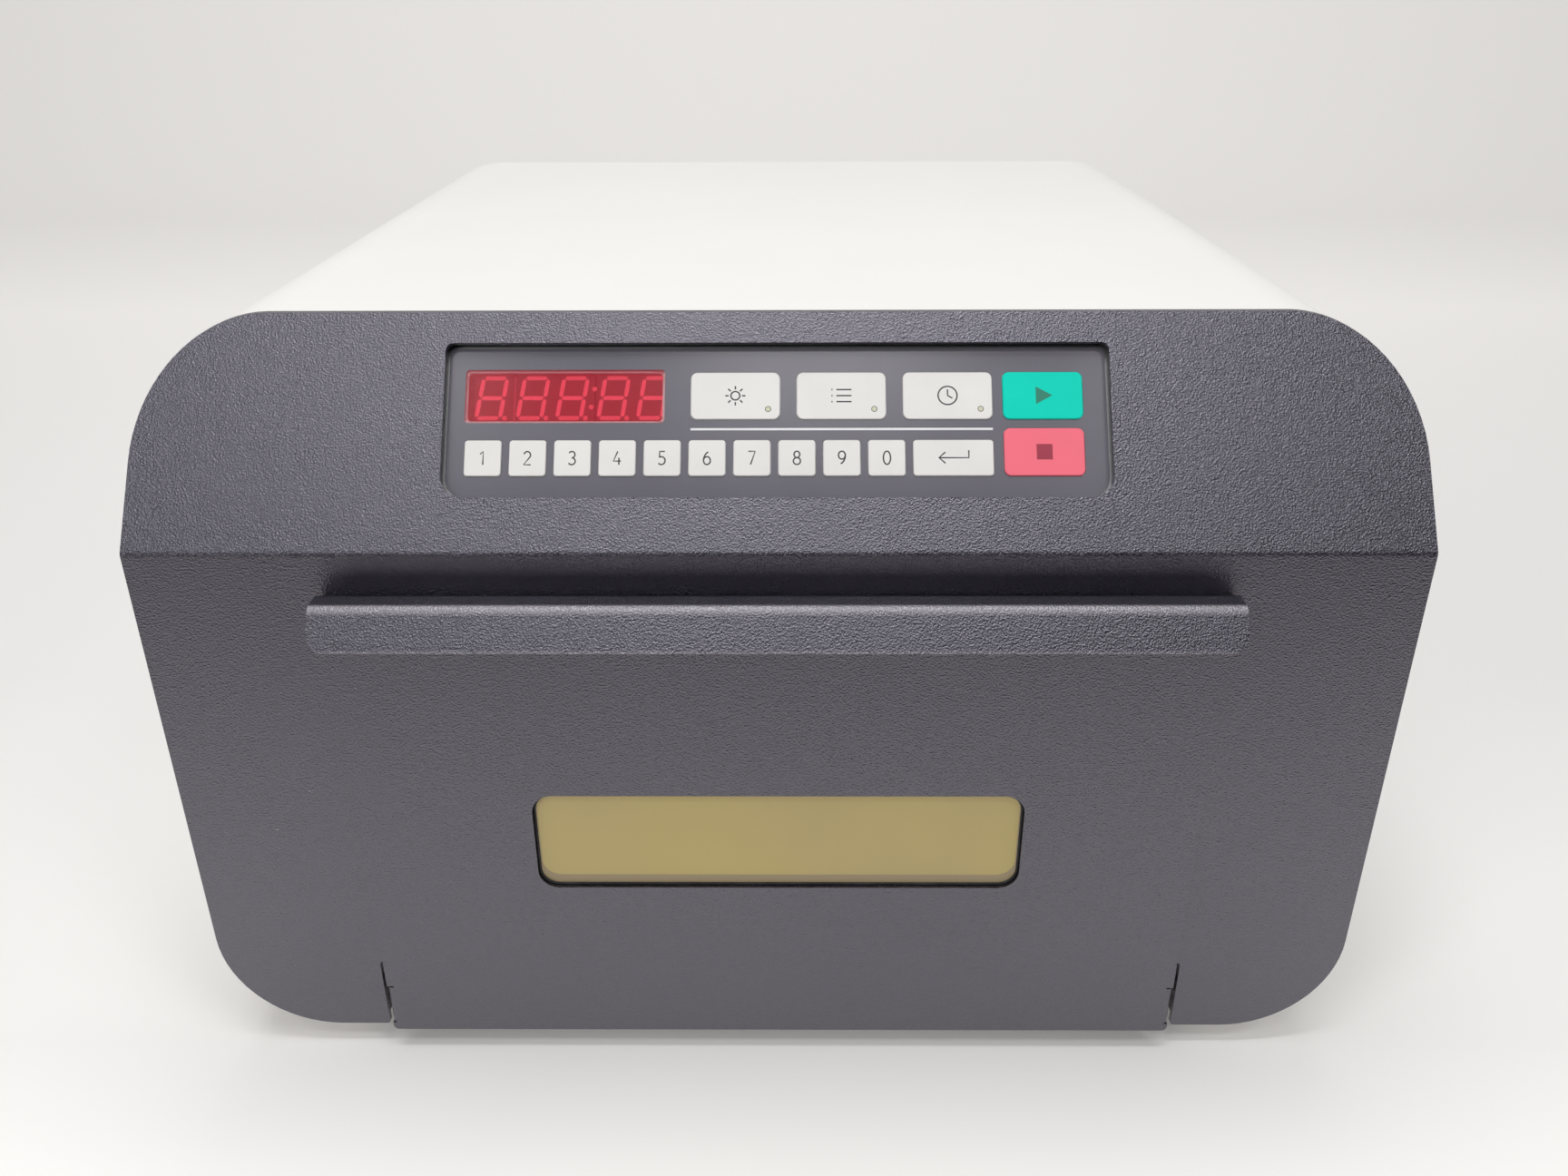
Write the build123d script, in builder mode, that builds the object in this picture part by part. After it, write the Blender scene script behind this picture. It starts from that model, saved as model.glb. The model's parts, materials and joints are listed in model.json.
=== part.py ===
"""Ultraviolet crosslinker: a bench-top irradiation cabinet.

A wrapped sheet-metal cabinet with a bent front panel.  The upper half of the front leans back
and carries a recessed membrane keypad with a five-digit display.  The lower half is upright and
carries a drop-down door with an amber window.  Inside are a bright chamber, five ultraviolet
tubes, their ballasts, a power supply and the control board.

Millimetres.  +X is to the right of someone facing the door, +Y runs to the back, +Z is up.
The origin is on the bench, under the middle of everything.
"""
import os
from math import atan, cos, degrees, radians, sin, tan

from build123d import *

os.makedirs("parts", exist_ok=True)

# ---------------------------------------------------------------- driving dimensions
# Cabinet
cabinet_width = 406.0
cabinet_height = 256.0
cabinet_depth = 410.0
corner_radius = 40.0
ground_gap = 10.0
slope_height = 64.0
slope_angle = 54.5
bezel_sheet = 2.0
bezel_bend_radius = 3.0
bezel_corner_radius = 1.2
cover_inset = 1.0
cover_sheet = 1.5
cover_return = 13.0
rear_return = 16.0
base_margin = 1.0
panel_sheet = 1.5

# Feet
foot_top_radius = 12.0
foot_sole_radius = 10.0
foot_inset_x = 70.0
foot_inset_y = 46.0
foot_hollow_radius = 4.0
foot_hollow_depth = 5.0

# Chamber behind the door
mouth_margin = 1.0
mouth_top_drop = 22.0
mouth_corner_radius = 6.0
bay_width = 73.0
chamber_corner_radius = 5.0
liner_sheet = 1.0
sill_setback = 27.0

# Door with its folded handle
door_overlap = 14.1
door_sheet = 2.0
door_gap = 1.0
door_corner_radius = 2.0
handle_drop = 12.4
flange_reach = 11.4
lip_length = 14.5
lip_corner_radius = 6.5
door_bend_radius = 3.5
lip_bend_radius = 2.6
door_liner_clearance = 3.5
door_liner_depth = 9.0

# Window in the door
window_width = 166.4
window_height = 38.4
window_rise = 55.1
window_corner_radius = 7.0
pane_overlap = 7.0
pane_thickness = 3.0
retainer_border = 4.0
retainer_fit = 0.2

# Door hinge
hinge_height = 12.0
hinge_setback = 8.0
hinge_pin_radius = 2.5
hinge_running_clearance = 0.05
ear_sheet = 2.0
ear_radius = 7.5
ear_low = 3.2
ear_height = 16.8
ear_bend_radius = 1.8
ear_relief = 0.6
ear_relief_depth = 2.4
notch_height = 30.0
notch_clearance = 2.2
notch_corner_radius = 2.0
bracket_sheet = 2.0
bracket_clearance = 0.3
bracket_height = 18.0
bracket_length = 16.0
bracket_flange = 12.0
collar_radius = 4.0
clip_thickness = 1.0
side_play = 0.2

# Catch, interlock and bumpers between the door and the front panel
catch_radius = 4.5
catch_length = 6.0
catch_drop = 32.0
interlock_radius = 2.2
interlock_length = 14.0
interlock_inset = 9.0
socket_clearance = 0.1
touch_gap = 0.3
bumper_radius = 4.0
bumper_low = 40.0
bumper_spacing = 60.0

# Recessed keypad in the sloping panel
opening_width = 210.0
opening_height = 50.5
opening_low = 17.9
opening_top_radius = 2.5
opening_bottom_radius = 7.5
panel_recess = 4.0
overlay_clearance = 0.5
overlay_thickness = 0.8
keypad_plate_sheet = 1.0
plate_border_x = 10.0
plate_border_low = 7.0
plate_border_high = 5.5
spacer_radius = 2.0
spacer_rows = 3
spacer_pitch = 22.0

# Keys
key_size = 11.7
key_pitch = 14.16
key_inset = 6.4
key_row_rise = 7.85
key_radius = 1.1
enter_width = 25.3
command_gap = 3.3
command_width = 25.35
command_height = 15.5
mode_width = 28.3
mode_height = 15.45
mode_pitch = 33.65
mode_row_rise = 26.35
wide_key_radius = 2.1
key_clearance = 0.12
key_thickness = 0.8
key_proud = 0.5
key_edge_radius = 0.25

# Display
display_inset = 5.8
display_rise = 25.3
display_width = 63.6
display_height = 17.6
display_radius = 1.3
display_ledge = 0.8
display_fit = 0.05
digit_width = 12.6
digit_body_height = 19.0
digit_body_depth = 8.0
digit_middle_low = 7.8
single_digit_inset = 8.8
module_gap = 0.6
module_setback = 0.2

# Control board
board_thickness = 1.6
board_margin = 3.0
board_height = 50.0
board_rise = 1.1
standoff_radius = 2.5
standoff_inset = 4.0
chip_width = 18.0
chip_height = 12.0
chip_thickness = 3.5
header_width = 44.0
header_height = 7.0
header_thickness = 8.5

# Ultraviolet tubes
lamp_count = 5
lamp_wall_margin = 34.0
lamp_diameter = 16.0
lamp_length = 288.0
lamp_end_play = 2.0
lamp_glass_radius = 7.7
lamp_glass_wall = 0.9
lamp_cap_length = 8.0
lamp_rise = 12.0
lamp_pin_radius = 1.2
lamp_pin_spacing = 5.0
lamp_pin_length = 6.0
lamp_headroom = 1.0
socket_width = 20.0
socket_depth = 8.5
socket_height = 20.0
pin_slot_clearance = 0.4
reflector_sheet = 1.0
reflector_setback = 2.0
reflector_ridge_height = 7.0
reflector_ridge_half_width = 7.0

# Sensor in the chamber's back wall
sensor_inset = 38.0
sensor_height = 45.0
sensor_face_radius = 9.0
sensor_stem_radius = 6.0
sensor_proud = 3.0
sensor_stem_length = 18.0

# Electrical parts on the base
ballast_count = 5
ballast_pitch = 56.0
ballast_width = 34.0
ballast_length = 48.0
ballast_height = 32.0
supply_width = 34.0
supply_length = 150.0
supply_height = 36.0
side_bay_gap = 3.0
bay_front_gap = 5.0
foot_plate_length = 3.5
foot_plate_thickness = 2.0

# Rear panel fittings
inlet_inset = 75.0
inlet_height = 52.0
inlet_flange_width = 31.0
inlet_flange_height = 38.0
inlet_flange_thickness = 2.5
inlet_body_width = 27.0
inlet_body_height = 34.0
inlet_body_depth = 22.0
inlet_fit = 0.2
cavity_width = 24.4
cavity_height = 16.6
cavity_depth = 17.0
cavity_rise = 6.5
cavity_chamfer = 4.0
blade_width = 2.0
blade_height = 4.0
blade_length = 14.0
blade_spacing = 14.0
earth_blade_rise = 2.0
fuse_width = 22.0
fuse_height = 8.0
fuse_drop = 10.5
fuse_depth = 20.0
fuse_proud = 0.8
switch_spacing = 44.0
switch_flange_width = 17.0
switch_flange_height = 31.0
switch_flange_thickness = 2.0
switch_body_width = 13.0
switch_body_height = 27.0
switch_body_depth = 18.0
rocker_width = 10.0
rocker_height = 21.0
rocker_play = 1.2
rocker_side_play = 0.4
rocker_proud = 5.5
rocker_tilt = 11.0
rocker_dish = 1.3
rocker_depth = 4.0
rocker_toe = 4.5
rocker_back = 1.8
rocker_well = 7.0
trunnion_radius = 1.5
trunnion_length = 0.8
vent_width = 74.0
vent_height = 3.0
vent_pitch = 8.0
vent_rows = 7
vent_column_pitch = 92.0
vent_columns = 2
vent_centre_height = 150.0
screw_head_radius = 3.2
screw_head_height = 1.8
screw_shank_radius = 1.5
screw_edge = 9.0
screw_fit = 0.1
screw_recess_width = 0.9
screw_recess_length = 3.6
screw_recess_depth = 1.0

# ---------------------------------------------------------------- derived places
lip_lean = radians(90.0 - slope_angle)
handle_reach = flange_reach + lip_length * sin(lip_lean)
whole_depth = handle_reach + cabinet_depth + rocker_proud
face_y = handle_reach - whole_depth / 2
back_y = face_y + cabinet_depth
bezel_back_y = face_y + bezel_sheet
panel_front_y = back_y - panel_sheet

base_z = ground_gap
top_z = base_z + cabinet_height
crease_z = top_z - slope_height
middle_z = (base_z + top_z) / 2
slope_run = slope_height * tan(lip_lean)

cover_width = cabinet_width - 2 * cover_inset
cover_height = cabinet_height - 2 * cover_inset
cover_radius = corner_radius - cover_inset
cover_inner_radius = cover_radius - cover_sheet
flat_half_width = cabinet_width / 2 - corner_radius
base_plate_z = base_z + cover_inset + cover_sheet
base_top_z = base_plate_z + panel_sheet
sill_y = face_y + sill_setback

floor_z = base_z + notch_height
chamber_width = cabinet_width - 2 * bay_width
mouth_width = chamber_width - 2 * mouth_margin
chamber_depth = reflector_setback + lamp_length + 2 * (socket_depth + lamp_end_play)
mouth_top_z = crease_z - mouth_top_drop
chamber_back_y = bezel_back_y + chamber_depth
lamp_z = mouth_top_z + lamp_rise
reflector_z = lamp_z + lamp_diameter / 2 + lamp_headroom
reflector_y = bezel_back_y + reflector_setback
front_socket_y = reflector_y + socket_depth
rear_socket_y = chamber_back_y - socket_depth
lamp_y = (front_socket_y + rear_socket_y) / 2
lamp_pitch = (chamber_width - 2 * lamp_wall_margin) / (lamp_count - 1)
lamp_places = [(i - (lamp_count - 1) / 2) * lamp_pitch for i in range(lamp_count)]
sensor_x = chamber_width / 2 - sensor_inset

door_back_y = face_y - door_gap
door_front_y = door_back_y - door_sheet
door_half_width = mouth_width / 2 + door_overlap
flange_z = crease_z - handle_drop
lip_corner_y = face_y - flange_reach
lip_end_y = face_y - handle_reach
lip_end_z = flange_z - lip_length * cos(lip_lean)
door_liner_low = floor_z + door_liner_clearance
door_liner_high = mouth_top_z - door_liner_clearance
door_liner_width = mouth_width - 2 * door_liner_clearance
window_z = floor_z + window_rise
pane_width = window_width + 2 * pane_overlap
pane_height = window_height + 2 * pane_overlap
hinge_y = face_y + hinge_setback
hinge_z = base_z + hinge_height
ear_z = base_z + ear_low
ear_top_z = ear_z + ear_height
notch_half_width = door_half_width + notch_clearance
bracket_x = notch_half_width + bracket_clearance

touch_thickness = door_gap - touch_gap
catch_x = (mouth_width / 2 + door_half_width) / 2
catch_z = crease_z - catch_drop
interlock_x = mouth_width / 2 - interlock_inset
interlock_z = (mouth_top_z + flange_z - door_bend_radius) / 2
bumper_rows = (base_z + bumper_low, base_z + bumper_low + bumper_spacing)

opening_middle = opening_low + opening_height / 2
overlay_front = -panel_recess
overlay_back = overlay_front - overlay_thickness
plate_back = overlay_back - keypad_plate_sheet
module_face = plate_back - module_setback
board_front = module_face - digit_body_depth
keys_left = key_inset - opening_width / 2
key_row_low = opening_low + key_row_rise
mode_row_low = opening_low + mode_row_rise
display_left = display_inset - opening_width / 2
display_low = opening_low + display_rise
board_width = opening_width + 2 * board_margin
board_low = opening_low + board_rise
enter_left = keys_left + 10 * key_pitch
enter_right = enter_left + enter_width
command_left = enter_right + command_gap
energy_left = enter_right - mode_width - 2 * mode_pitch
inlet_x = cabinet_width / 2 - inlet_inset
switch_x = inlet_x - switch_spacing
slope = Plane(
    origin=(0, face_y, crease_z),
    x_dir=(1, 0, 0),
    z_dir=(0, -cos(lip_lean), sin(lip_lean)),
)


def front_at(y):
    """A plane that faces the user at depth y, with +X and +Z as its axes."""
    return Plane(origin=(0, y, 0), x_dir=(1, 0, 0), z_dir=(0, -1, 0))


def side_at(x):
    """A plane that faces right at x, with +Y and +Z as its axes."""
    return Plane(origin=(x, 0, 0), x_dir=(0, 1, 0), z_dir=(1, 0, 0))


def save(piece, name):
    """Label a finished piece and write it under its own name."""
    piece.part.label = name
    export_step(piece.part, f"parts/{name}.step")


# ---------------------------------------------------------------- front panel
# One sheet, bent at the crease: its section runs past the top and is trimmed to the outline.
past_top = 1.2
with BuildPart() as front_bezel:
    with BuildSketch(Plane.YZ):
        with BuildLine():
            tip_y = face_y + slope_run * past_top
            tip_z = crease_z + slope_height * past_top
            Polyline(
                (face_y, base_z),
                (face_y, crease_z),
                (tip_y, tip_z),
                (tip_y + bezel_sheet * cos(lip_lean), tip_z - bezel_sheet * sin(lip_lean)),
                (bezel_back_y, crease_z - bezel_sheet * tan(lip_lean / 2)),
                (bezel_back_y, base_z),
                close=True,
            )
        make_face()
    extrude(amount=cabinet_width / 2, both=True)
    creases = front_bezel.edges().filter_by(Axis.X)
    fillet(creases.sort_by_distance((0, face_y, crease_z))[0], radius=bezel_bend_radius)
    with BuildSketch(front_at(face_y)):
        with Locations((0, middle_z)):
            RectangleRounded(cabinet_width, cabinet_height, corner_radius)
    extrude(amount=-cabinet_depth, mode=Mode.INTERSECT)
    # Recess for the keypad
    with BuildSketch(slope) as keypad_opening:
        with Locations((0, opening_middle)):
            Rectangle(opening_width, opening_height)
        fillet(keypad_opening.vertices().group_by(Axis.Y)[-1], radius=opening_top_radius)
        fillet(keypad_opening.vertices().group_by(Axis.Y)[0], radius=opening_bottom_radius)
    extrude(amount=-2 * bezel_sheet, both=True, mode=Mode.SUBTRACT)
    # Chamber mouth, and the wider notch below it that the door's hinge ears swing through
    with BuildSketch(front_at(face_y)) as mouth:
        with Locations((0, (base_z + mouth_top_z) / 2)):
            Rectangle(mouth_width, mouth_top_z - base_z)
        fillet(mouth.vertices().group_by(Axis.Y)[-1], radius=mouth_corner_radius)
    extrude(amount=-2 * bezel_sheet, both=True, mode=Mode.SUBTRACT)
    with BuildSketch(front_at(face_y)) as notch:
        with Locations((0, base_z + notch_height / 2)):
            Rectangle(2 * notch_half_width, notch_height)
        fillet(notch.vertices().group_by(Axis.Y)[-1], radius=notch_corner_radius)
    extrude(amount=-2 * bezel_sheet, both=True, mode=Mode.SUBTRACT)
    for side in (-1, 1):
        corners = front_bezel.edges().filter_by(Axis.Y)
        corner = corners.sort_by_distance((side * notch_half_width, face_y, base_z))[0]
        fillet(corner, radius=bezel_corner_radius)
    # Seats of the two door magnets and of the interlock sensor
    with BuildSketch(front_at(face_y)):
        with Locations((-catch_x, catch_z), (catch_x, catch_z)):
            Circle(catch_radius + socket_clearance)
        with Locations((interlock_x, interlock_z)):
            Circle(interlock_radius + socket_clearance)
    extrude(amount=-2 * bezel_sheet, both=True, mode=Mode.SUBTRACT)
save(front_bezel, "front_bezel")

# ---------------------------------------------------------------- wrapped cover
with BuildPart() as outer_cover:
    with BuildSketch(front_at(panel_front_y)) as cover_ring:
        with Locations((0, middle_z)):
            RectangleRounded(cover_width, cover_height, cover_radius)
            RectangleRounded(
                cover_width - 2 * cover_sheet,
                cover_height - 2 * cover_sheet,
                cover_inner_radius,
                mode=Mode.SUBTRACT,
            )
    extrude(amount=panel_front_y - face_y)
    # Front edge, cut to lie against the back of the bent front panel
    with BuildSketch(Plane.YZ):
        with BuildLine():
            Polyline(
                (face_y, base_z),
                (face_y, top_z),
                (tip_y + bezel_sheet / cos(lip_lean), tip_z),
                (bezel_back_y, crease_z - bezel_sheet * tan(lip_lean / 2)),
                (bezel_back_y, base_z),
                close=True,
            )
        make_face()
    extrude(amount=cabinet_width / 2, both=True, mode=Mode.SUBTRACT)
    # Return lip that the rear panel is screwed to
    with BuildSketch(front_at(panel_front_y)) as rear_lip:
        with Locations((0, middle_z)):
            RectangleRounded(
                cover_width - 2 * cover_sheet,
                cover_height - 2 * cover_sheet,
                cover_inner_radius,
            )
            RectangleRounded(
                cover_width - 2 * rear_return,
                cover_height - 2 * rear_return,
                cover_radius - rear_return,
                mode=Mode.SUBTRACT,
            )
    extrude(amount=cover_sheet)
    # Open underside between the two bottom returns
    with BuildSketch(Plane.XY.offset(base_z)):
        with Locations((0, (face_y + panel_front_y - cover_sheet) / 2)):
            Rectangle(2 * (flat_half_width - cover_return), panel_front_y - cover_sheet - face_y)
    extrude(amount=2 * (cover_inset + cover_sheet), mode=Mode.SUBTRACT)
    screw_x = cover_width / 2 - screw_edge
    screw_z = cover_height / 2 - screw_edge
    screw_places = [
        (0, screw_z),
        (0, -screw_z),
        (-flat_half_width + screw_edge, screw_z),
        (flat_half_width - screw_edge, screw_z),
        (-flat_half_width + screw_edge, -screw_z),
        (flat_half_width - screw_edge, -screw_z),
        (-screw_x, 0),
        (screw_x, 0),
    ]
    screw_plane = Plane(origin=(0, back_y, middle_z), x_dir=(1, 0, 0), z_dir=(0, -1, 0))
    with BuildSketch(screw_plane):
        with Locations(*screw_places):
            Circle(screw_shank_radius + screw_fit)
    extrude(amount=2 * (panel_sheet + cover_sheet), mode=Mode.SUBTRACT)
save(outer_cover, "outer_cover")

# ---------------------------------------------------------------- rear panel
with BuildPart() as rear_panel:
    with BuildSketch(front_at(back_y)):
        with Locations((0, middle_z)):
            RectangleRounded(cover_width, cover_height, cover_radius)
        with Locations((0, vent_centre_height)):
            with GridLocations(vent_column_pitch, vent_pitch, vent_columns, vent_rows):
                SlotOverall(vent_width, vent_height, mode=Mode.SUBTRACT)
        with Locations((inlet_x, inlet_height)):
            Rectangle(
                inlet_body_width + 2 * inlet_fit,
                inlet_body_height + 2 * inlet_fit,
                mode=Mode.SUBTRACT,
            )
        with Locations((switch_x, inlet_height)):
            Rectangle(
                switch_body_width + 2 * inlet_fit,
                switch_body_height + 2 * inlet_fit,
                mode=Mode.SUBTRACT,
            )
    extrude(amount=panel_sheet)
    with BuildSketch(screw_plane):
        with Locations(*screw_places):
            Circle(screw_shank_radius + screw_fit)
    extrude(amount=2 * panel_sheet, mode=Mode.SUBTRACT)
save(rear_panel, "rear_panel")

# Pan-head screws of the rear panel, each with a slot
with BuildPart() as rear_screws:
    with BuildSketch(screw_plane):
        with Locations(*screw_places):
            Circle(screw_head_radius)
    extrude(amount=-screw_head_height)
    chamfer(
        rear_screws.faces().filter_by(Axis.Y).group_by(Axis.Y)[-1].edges(),
        length=screw_head_height / 3,
    )
    with BuildSketch(screw_plane):
        with Locations(*screw_places):
            Circle(screw_shank_radius)
    extrude(amount=panel_sheet + cover_sheet + screw_head_height)
    with BuildSketch(screw_plane.offset(-screw_head_height)):
        with Locations(*screw_places):
            Rectangle(screw_recess_length, screw_recess_width)
    extrude(amount=screw_recess_depth, mode=Mode.SUBTRACT)
save(rear_screws, "rear_screws")

# ---------------------------------------------------------------- base and feet
base_half_width = flat_half_width - base_margin
base_end_y = panel_front_y - cover_sheet - base_margin
with BuildPart() as base_plate:
    with BuildSketch(Plane.XY.offset(base_plate_z)):
        with Locations((0, (sill_y + base_end_y) / 2)):
            Rectangle(2 * base_half_width, base_end_y - sill_y)
    extrude(amount=panel_sheet)
    # Upturned sill that closes the space under the chamber floor
    with BuildSketch(front_at(sill_y)):
        with Locations((0, (base_plate_z + floor_z - liner_sheet) / 2)):
            Rectangle(2 * base_half_width, floor_z - liner_sheet - base_plate_z)
    extrude(amount=-panel_sheet)
    bends = base_plate.edges().filter_by(Axis.X)
    fillet(bends.sort_by_distance((0, sill_y, base_plate_z))[0], radius=panel_sheet)
save(base_plate, "base_plate")

foot_x = cabinet_width / 2 - foot_inset_x
foot_places = [
    (x, y) for x in (-foot_x, foot_x) for y in (face_y + foot_inset_y, back_y - foot_inset_y)
]
with BuildPart() as feet:
    with BuildSketch(Plane.XY):
        with Locations(*foot_places):
            Circle(foot_sole_radius)
    spread = degrees(atan((foot_top_radius - foot_sole_radius) / base_plate_z))
    extrude(amount=base_plate_z, taper=-spread)
    with BuildSketch(Plane.XY):
        with Locations(*foot_places):
            Circle(foot_hollow_radius)
    extrude(amount=foot_hollow_depth, mode=Mode.SUBTRACT)
save(feet, "feet")

# ---------------------------------------------------------------- chamber
wall_x = chamber_width / 2
with BuildPart() as chamber_liner:
    with BuildSketch(front_at(bezel_back_y)):
        with Locations((0, (floor_z - liner_sheet + reflector_z) / 2)):
            Rectangle(chamber_width + 2 * liner_sheet, reflector_z - floor_z + liner_sheet)
    extrude(amount=-(chamber_depth + liner_sheet))
    with BuildSketch(Plane.XY.offset(floor_z)) as chamber_floor:
        with Locations((0, (bezel_back_y + chamber_back_y) / 2)):
            Rectangle(chamber_width, chamber_depth)
        fillet(chamber_floor.vertices().group_by(Axis.Y)[-1], radius=chamber_corner_radius)
    extrude(amount=reflector_z - floor_z, mode=Mode.SUBTRACT)
    with BuildSketch(front_at(chamber_back_y)):
        with Locations((sensor_x, floor_z + sensor_height)):
            Circle(sensor_stem_radius + socket_clearance)
    extrude(amount=-2 * liner_sheet, mode=Mode.SUBTRACT)
save(chamber_liner, "chamber_liner")

# Ceiling with a folded ridge between each pair of tubes
with BuildPart() as lamp_reflector:
    ridge_places = [(a + b) / 2 for a, b in zip(lamp_places, lamp_places[1:])]
    under = [(-wall_x - liner_sheet, reflector_z)]
    for x in ridge_places:
        under.append((x - reflector_ridge_half_width, reflector_z))
        under.append((x, reflector_z - reflector_ridge_height))
        under.append((x + reflector_ridge_half_width, reflector_z))
    under.append((wall_x + liner_sheet, reflector_z))
    over = [(x, z + reflector_sheet) for x, z in reversed(under)]
    with BuildSketch(front_at(reflector_y)):
        with BuildLine():
            Polyline(*under, *over, close=True)
        make_face()
    extrude(amount=-(chamber_back_y - reflector_y))
save(lamp_reflector, "lamp_reflector")

# ---------------------------------------------------------------- tubes and their holders
glass_length = lamp_length - 2 * lamp_cap_length
for number, x in enumerate(lamp_places, start=1):
    with BuildPart() as lamp_tube:
        with BuildSketch(front_at(lamp_y - glass_length / 2)):
            with Locations((x, lamp_z)):
                Circle(lamp_glass_radius)
                Circle(lamp_glass_radius - lamp_glass_wall, mode=Mode.SUBTRACT)
        extrude(amount=-glass_length)
    save(lamp_tube, f"lamp_tube_{number}")

with BuildPart() as lamp_caps:
    for end in (-1, 1):
        with BuildSketch(front_at(lamp_y + end * glass_length / 2)):
            with Locations(*[(x, lamp_z) for x in lamp_places]):
                Circle(lamp_diameter / 2)
        extrude(amount=-end * lamp_cap_length)
        pin_rows = [(x, lamp_z + s * lamp_pin_spacing / 2) for x in lamp_places for s in (-1, 1)]
        with BuildSketch(front_at(lamp_y + end * lamp_length / 2)):
            with Locations(*pin_rows):
                Circle(lamp_pin_radius)
        extrude(amount=-end * lamp_pin_length)
save(lamp_caps, "lamp_caps")

# Each holder has a slot, open below, that the two pins slide up
slot_width = 2 * (lamp_pin_radius + pin_slot_clearance)
slot_top_z = lamp_z + lamp_pin_spacing / 2 + lamp_pin_radius + pin_slot_clearance
socket_low_z = reflector_z - socket_height
with BuildPart() as lamp_sockets:
    for face, end in ((front_socket_y, 1), (rear_socket_y, -1)):
        with BuildSketch(front_at(face)):
            with Locations(*[(x, reflector_z - socket_height / 2) for x in lamp_places]):
                Rectangle(socket_width, socket_height)
        extrude(amount=end * socket_depth)
        with BuildSketch(front_at(face)):
            with Locations(*[(x, (socket_low_z + slot_top_z) / 2) for x in lamp_places]):
                Rectangle(slot_width, slot_top_z - socket_low_z)
        extrude(amount=end * lamp_pin_length, mode=Mode.SUBTRACT)
save(lamp_sockets, "lamp_sockets")

# Light sensor that looks into the chamber through its back wall
with BuildPart() as uv_sensor:
    with BuildSketch(front_at(chamber_back_y)):
        with Locations((sensor_x, floor_z + sensor_height)):
            Circle(sensor_face_radius)
    extrude(amount=sensor_proud)
    with BuildSketch(front_at(chamber_back_y)):
        with Locations((sensor_x, floor_z + sensor_height)):
            Circle(sensor_stem_radius)
    extrude(amount=-sensor_stem_length)
save(uv_sensor, "uv_sensor")

# ---------------------------------------------------------------- electrical parts on the base
bay_y = sill_y + bay_front_gap
ballast_x = -wall_x - liner_sheet - side_bay_gap - ballast_width / 2
first_ballast_y = bay_y + ballast_length / 2
ballast_places = [(ballast_x, first_ballast_y + i * ballast_pitch) for i in range(ballast_count)]
with BuildPart() as ballasts:
    with BuildSketch(Plane.XY.offset(base_top_z)):
        with Locations(*ballast_places):
            Rectangle(ballast_width, ballast_length)
    extrude(amount=ballast_height)
    with BuildSketch(Plane.XY.offset(base_top_z)):
        with Locations(*ballast_places):
            Rectangle(ballast_width / 2, ballast_length + 2 * foot_plate_length)
    extrude(amount=foot_plate_thickness)
save(ballasts, "ballasts")

supply_x = wall_x + liner_sheet + side_bay_gap + supply_width / 2
with BuildPart() as power_supply:
    with BuildSketch(Plane.XY.offset(base_top_z)):
        with Locations((supply_x, bay_y + supply_length / 2)):
            Rectangle(supply_width, supply_length)
    extrude(amount=supply_height)
    with BuildSketch(Plane.XY.offset(base_top_z)):
        with Locations((supply_x, bay_y + supply_length / 2)):
            Rectangle(supply_width / 2, supply_length + 2 * foot_plate_length)
    extrude(amount=foot_plate_thickness)
save(power_supply, "power_supply")

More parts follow.
